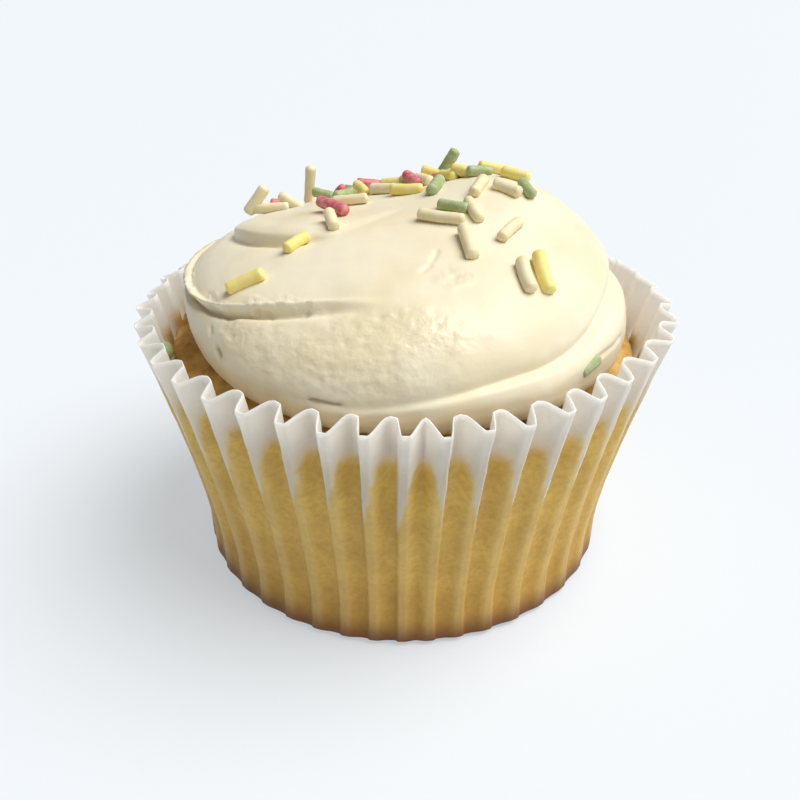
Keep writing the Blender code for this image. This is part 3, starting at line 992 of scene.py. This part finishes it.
def buttercream_finish(icing):
    """Buttercream: butter beaten with sugar and spread with a knife. It is dense and satiny,
    light sinks a little way in, and the sugar leaves a very fine grain."""
    material, tree, shader = principled(
        "buttercream",
        {
            "IOR": 1.46,
            "Subsurface Weight": 0.15,
            "Subsurface Radius": (1.0, 0.75, 0.45),
            "Subsurface Scale": 1.2 * MM,
            "Specular IOR Level": 0.4,
        },
    )
    place = add(tree, "ShaderNodeTexCoord").outputs["Object"]
    torn = add(tree, "ShaderNodeAttribute", attribute_name="torn").outputs["Fac"]
    patches = noisy(tree, 9.0 * MM, detail=3.0, vector=place)
    share = ranged(tree, patches, start=0.4, end=0.7)
    butter = mixed(tree, share, icing.cream, icing.shade)
    feed(tree, shader, "Base Color", butter)
    # Sugar grain, about a tenth of a millimetre, drawn at four tenths so that it shows.
    grain = noisy(tree, 0.4 * MM, detail=3.0, vector=place)
    bump = bumpy(tree, grain, 0.05 * MM, 0.25)
    # Where it is torn, small peaks of butter stand up and catch the light.
    peaks = noisy(tree, 0.75 * MM, vector=place)
    peaks = maths(tree, "MULTIPLY", peaks, torn)
    bump = bumpy(tree, peaks, 0.16 * MM, 0.6, below=bump)
    feed(tree, shader, "Normal", bump)
    gloss = ranged(tree, torn, low=0.42, high=0.26)
    feed(tree, shader, "Roughness", gloss)
    return material


def surface_tree(piece):
    """A tree that finds points on a piece."""
    mesh = piece.data
    corners = [v.co.copy() for v in mesh.vertices]
    return BVHTree.FromPolygons(corners, [tuple(p.vertices) for p in mesh.polygons])


def height_under(trees, x, y):
    """Height at which a drop at x, y meets the surfaces; beside them, that of the crust's edge."""
    from_above, down = Vector((x, y, 2 * RIM_TOP)), Vector((0.0, 0.0, -1.0))
    spots = [tree.ray_cast(from_above, down)[0] for tree in trees]
    return max((spot.z for spot in spots if spot), default=CRUST_TOP)


class CUPCAKE_OT_buttercream(bpy.types.Operator):
    """Builds the spread buttercream"""

    bl_idname = "cupcake.buttercream"
    bl_label = "Buttercream"

    def execute(self, context):
        icing = context.scene.cupcake_buttercream
        cake = surface_tree(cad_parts["sponge"])
        mesh = icing_mesh(lambda x, y: height_under([cake], x, y))
        values = values_of(icing, (*ICING_INPUTS, "Seed"))
        values["Icing"] = buttercream_finish(icing)
        piece = grown("buttercream_swirl", spread_tree(), values, start=mesh)
        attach(piece, "root")
        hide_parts("icing")
        return {"FINISHED"}


# ---------------------------------------------------------------- sugar strands

# Each strand: bearing in degrees, reach from the middle and lift off the icing in millimetres,
# heading and tilt in degrees, length in millimetres.
STRANDS = {
    "red": (
        (-91, 8.0, 0.9, 41, 1, 5.2),
        (-150, 16.1, 0.6, 16, 27, 3.6),
        (174, 9.8, 1.0, 26, -6, 3.8),
        (160, 10.6, 0.7, 26, 5, 3.5),
        (-163, 14.9, 1.0, 92, -6, 3.4),
        (-127, 19.2, 0.6, 100, -8, 3.0),
    ),
    "yellow": (
        (-51, 20.4, 0.4, 93, 24, 4.4),
        (-56, 13.5, 0.5, 144, 9, 3.6),
        (-154, 11.8, 0.6, 20, -1, 4.4),
        (-174, 13.1, 0.9, 65, 12, 3.2),
        (175, 4.7, 0.5, 70, 6, 4.2),
        (161, 10.8, 1.2, 56, -10, 3.2),
        (147, 9.6, 0.6, 24, 10, 3.6),
        (141, 10.8, 0.6, 60, 12, 3.6),
        (134, 9.9, 0.7, 58, -6, 3.4),
        (123, 12.7, 0.8, 88, -11, 4.0),
        (106, 13.3, 0.5, 60, -6, 3.6),
        (43, 20.0, 0.5, 10, -29, 5.2),
    ),
    "green": (
        (161, 16.3, 2.35, 81, 59, 5.8),
        (44, 26.0, -1.1, 133, 15, 3.0),
        (-72, 27.8, 1.8, 20, 10, 3.2),
        (89, 13.6, 0.5, 19, -15, 3.2),
        (173, 11.9, 0.8, 76, 8, 4.0),
        (131, 4.8, 0.5, -15, -2, 4.6),
        (123, 10.6, 0.5, 100, -5, 3.2),
        (54, 6.6, 0.3, 59, 1, 3.8),
        (-140, 15.5, 0.6, 60, -4, 3.4),
        (-140, 11.3, 0.5, 141, -2, 3.4),
        (-155, 16.2, 0.5, 24, 12, 3.4),
    ),
    "cream": (
        (-119, 18.9, 0.6, 78, 6, 5.6),
        (-118, 20.5, 2.0, 100, 52, 4.2),
        (-140, 18.5, 2.2, 80, 84, 5.0),
        (-124, 16.6, 0.6, 60, -20, 3.6),
        (-59, 9.0, 0.5, 16, -14, 3.4),
        (-121, 7.2, 0.6, 82, 8, 4.4),
        (-163, 8.1, 0.6, 60, 8, 3.8),
        (-164, 15.0, 0.6, 70, 8, 3.4),
        (165, 9.3, 0.7, 33, 4, 3.4),
        (32, 7.4, 0.5, 66, 0, 5.4),
        (29, 13.1, 0.5, 8, -17, 5.2),
        (90, 8.3, 0.4, -22, -10, 4.1),
        (55, 9.0, 0.4, 13, -11, 4.6),
        (86, 11.3, 0.4, 54, -10, 3.6),
        (52, 13.9, 0.5, 147, 8, 4.6),
        (37, 19.6, 0.5, 9, -23, 4.4),
    ),
}
STRAND_POINTS = 5  # of the line along a strand's middle
STRAND_SIDES = 12
STRAND_RINGS = 21
STRAND_BEND = 0.2  # at most, to either side, in millimetres
STRAND_WIDTHS = (0.9, 1.08)  # the thinnest and the thickest, as shares of the diameter
CAP_SHARE = 0.6  # the ends are round over this share of the radius
DENT_HEIGHT, DENT_SIZE = 0.16 * MM, 1.1 * MM


def strand_lines(rows, surfaces, seed):
    """Middle lines of strands that lie on the icing, each very slightly bent."""
    chance = np.random.default_rng(seed)
    points, edges, thicknesses = [], [], []
    for bearing, reach, lift, heading, tilt, size in rows:
        bearing, heading, tilt = (math.radians(angle) for angle in (bearing, heading, tilt))
        x, y = reach * MM * math.sin(bearing), -reach * MM * math.cos(bearing)
        middle = Vector((x, y, height_under(surfaces, x, y) + lift * MM))
        level = Vector((math.sin(heading), -math.cos(heading), 0.0))
        along = level * math.cos(tilt) + Vector((0.0, 0.0, math.sin(tilt)))
        side = along.cross(Vector((0.0, 0.0, 1.0))).normalized()
        bend = chance.uniform(-STRAND_BEND, STRAND_BEND) * MM
        thickness = chance.uniform(*STRAND_WIDTHS)
        first = len(points)
        for i in range(STRAND_POINTS):
            t = 2 * i / (STRAND_POINTS - 1) - 1
            points.append(middle + along * (t * size * MM / 2) + side * bend * (1 - t * t))
            thicknesses.append(thickness)
        edges += [(first + i, first + i + 1) for i in range(STRAND_POINTS - 1)]
    mesh = bpy.data.meshes.new("strand_lines")
    mesh.from_pydata(points, edges, [])
    attribute = mesh.attributes.new("thickness", "FLOAT", "POINT")
    attribute.data.foreach_set("value", thicknesses)
    return mesh


def strand_tree():
    """Rods with rounded ends along the given lines."""
    tree, given = geometry_tree("Sugar Strand", (("Radius", "Float"), ("Sugar", "Material")))
    thickness = add(
        tree, "GeometryNodeInputNamedAttribute", {"Name": "thickness"}, data_type="FLOAT"
    )
    lines = add(tree, "GeometryNodeMeshToCurve", {"Mesh": given["Geometry"]})
    lines = add(tree, "GeometryNodeCurveSplineType", {"Curve": lines}, spline_type="CATMULL_ROM")
    lines = add(tree, "GeometryNodeResampleCurve", {"Curve": lines, "Count": STRAND_RINGS})
    along = add(tree, "GeometryNodeSplineParameter").outputs["Length"]
    whole = add(tree, "GeometryNodeSplineLength").outputs["Length"]
    rest = maths(tree, "SUBTRACT", whole, along)
    to_end = maths(tree, "MINIMUM", along, rest)
    cap = maths(tree, "MULTIPLY", given["Radius"], CAP_SHARE)
    inside = maths(tree, "DIVIDE", to_end, cap)
    inside = maths(tree, "MINIMUM", inside, 1.0)
    inside = maths(tree, "SUBTRACT", 1.0, inside)
    inside = maths(tree, "POWER", inside, 2.0)
    inside = maths(tree, "SUBTRACT", 1.0, inside)
    width = maths(tree, "SQRT", inside)
    width = maths(tree, "MULTIPLY", width, thickness)
    circle = add(
        tree,
        "GeometryNodeCurvePrimitiveCircle",
        {"Resolution": STRAND_SIDES, "Radius": given["Radius"]},
    )
    rods = add(
        tree, "GeometryNodeCurveToMesh", {"Curve": lines, "Profile Curve": circle, "Scale": width}
    )
    rods = add(tree, "GeometryNodeMergeByDistance", {"Geometry": rods, "Distance": 0.005 * MM})
    noise = noisy(tree, DENT_SIZE)
    dent = maths(tree, "SUBTRACT", noise, 0.5)
    dent = maths(tree, "MULTIPLY", dent, DENT_HEIGHT)
    finish_tree(tree, rods, dent, given["Sugar"])
    return tree


def strand_sugar(name, dye):
    """Sugar strand: sugar paste pressed through a die and dried. It is chalky and matt, and
    the dye is a little uneven."""
    material, tree, shader = principled(
        name,
        {
            "Roughness": 0.55,
            "IOR": 1.5,
            "Subsurface Weight": 0.25,
            "Subsurface Scale": 0.6 * MM,
        },
    )
    place = add(tree, "ShaderNodeTexCoord").outputs["Object"]
    patches = noisy(tree, 0.9 * MM, detail=3.0, vector=place)
    pale = ranged(tree, patches, start=0.4, end=0.7, high=0.3)
    dyed = mixed(tree, pale, dye, linear("fbf6e6"))
    feed(tree, shader, "Base Color", dyed)
    bump = bumpy(tree, patches, 0.05 * MM, 0.3)
    feed(tree, shader, "Normal", bump)
    return material


class CUPCAKE_OT_strands(bpy.types.Operator):
    """Lays the sugar strands on the buttercream, one piece of each colour"""

    bl_idname = "cupcake.strands"
    bl_label = "Sugar Strands"

    def execute(self, context):
        strands = context.scene.cupcake_strands
        surfaces = [surface_tree(bpy.data.objects[name]) for name in ("buttercream_swirl", "cake")]
        tree = strand_tree()
        for number, (dye, rows) in enumerate(STRANDS.items()):
            slot = f"{dye}_sugar"
            values = {
                "Radius": strands.diameter / 2,
                "Sugar": strand_sugar(slot, getattr(strands, dye)),
            }
            lines = strand_lines(rows, surfaces, strands.seed + number)
            piece = grown(f"{dye}_strands", tree, values, start=lines)
            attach(piece, "root")
        return {"FINISHED"}


# ---------------------------------------------------------------- stage

FLOOR_REACH = 3.0
CAMERA_PLACE = (-0.4 * MM, -87.8 * MM, 68.5 * MM)
CAMERA_PITCH = math.radians(59.4)
CAMERA_LENS = 36.0
CAMERA_SENSOR = 36.0


class CUPCAKE_OT_stage(bpy.types.Operator):
    """Sets up the floor, the lights and the camera"""

    bl_idname = "cupcake.stage"
    bl_label = "Stage"

    def execute(self, context):
        stage = context.scene.cupcake_stage
        signs = ((-1, -1), (1, -1), (1, 1), (-1, 1))
        corners = [(x * FLOOR_REACH, y * FLOOR_REACH, 0) for x, y in signs]
        mesh = bpy.data.meshes.new("floor")
        mesh.from_pydata(corners, [], [(0, 1, 2, 3)])
        # Opal acrylic, cast and lit from below: even and white, with hardly any shadow.
        material, _, shader = principled(
            "opal_acrylic",
            {
                "Roughness": 0.8,
                "Base Color": stage.floor,
                "Emission Color": linear("f6fbff"),
                "Emission Strength": stage.glow,
            },
        )
        mesh.materials.append(material)
        floor = bpy.data.objects.new("floor", mesh)
        context.collection.objects.link(floor)

        world = bpy.data.worlds.new("studio")
        world.use_nodes = True
        background = world.node_tree.nodes["Background"]
        background.inputs["Color"].default_value = stage.sky
        background.inputs["Strength"].default_value = stage.sky_strength
        context.scene.world = world

        light = bpy.data.lights.new("key", "SUN")
        light.energy = stage.key_strength
        light.angle = stage.key_width
        key = bpy.data.objects.new("key", light)
        level = math.cos(stage.key_height)
        towards = Vector(
            (
                level * math.sin(stage.key_bearing),
                -level * math.cos(stage.key_bearing),
                math.sin(stage.key_height),
            )
        )
        key.rotation_euler = towards.to_track_quat("Z", "Y").to_euler()
        context.collection.objects.link(key)

        camera = bpy.data.objects.new("camera", bpy.data.cameras.new("camera"))
        camera.data.lens = CAMERA_LENS
        camera.data.sensor_width = CAMERA_SENSOR
        camera.data.clip_start = 0.005
        camera.location = CAMERA_PLACE
        camera.rotation_euler = (CAMERA_PITCH, 0.0, 0.0)
        context.collection.objects.link(camera)
        context.scene.camera = camera
        context.scene.view_settings.view_transform = "Standard"
        return {"FINISHED"}


# ---------------------------------------------------------------- add-on

GROUPS = {
    "cupcake_case": CUPCAKE_PG_case,
    "cupcake_sponge": CUPCAKE_PG_sponge,
    "cupcake_buttercream": CUPCAKE_PG_buttercream,
    "cupcake_strands": CUPCAKE_PG_strands,
    "cupcake_stage": CUPCAKE_PG_stage,
}
# In the order in which they are called: the strands lie on the finished icing.
OPERATORS = {
    "cupcake_case": CUPCAKE_OT_paper_case,
    "cupcake_sponge": CUPCAKE_OT_sponge,
    "cupcake_buttercream": CUPCAKE_OT_buttercream,
    "cupcake_strands": CUPCAKE_OT_strands,
    "cupcake_stage": CUPCAKE_OT_stage,
}


class CUPCAKE_PT_panel(bpy.types.Panel):
    """Lists the cupcake's pieces and their sizes and colours"""

    bl_idname = "CUPCAKE_PT_panel"
    bl_label = "Cupcake"
    bl_space_type = "VIEW_3D"
    bl_region_type = "UI"
    bl_category = "Cupcake"

    def draw(self, context):
        for key, operator in OPERATORS.items():
            box = self.layout.box()
            box.operator(operator.bl_idname)
            group = getattr(context.scene, key)
            for name in GROUPS[key].__annotations__:
                box.prop(group, name)


CLASSES = (*GROUPS.values(), *OPERATORS.values(), CUPCAKE_PT_panel)


def register():
    for cls in CLASSES:
        bpy.utils.register_class(cls)
    for key, group in GROUPS.items():
        setattr(bpy.types.Scene, key, PointerProperty(type=group))


def unregister():
    for key in GROUPS:
        delattr(bpy.types.Scene, key)
    for cls in reversed(CLASSES):
        bpy.utils.unregister_class(cls)


def main():
    register()
    for operator in OPERATORS.values():
        group, name = operator.bl_idname.split(".")
        getattr(getattr(bpy.ops, group), name)()


if __name__ == "__main__":
    main()
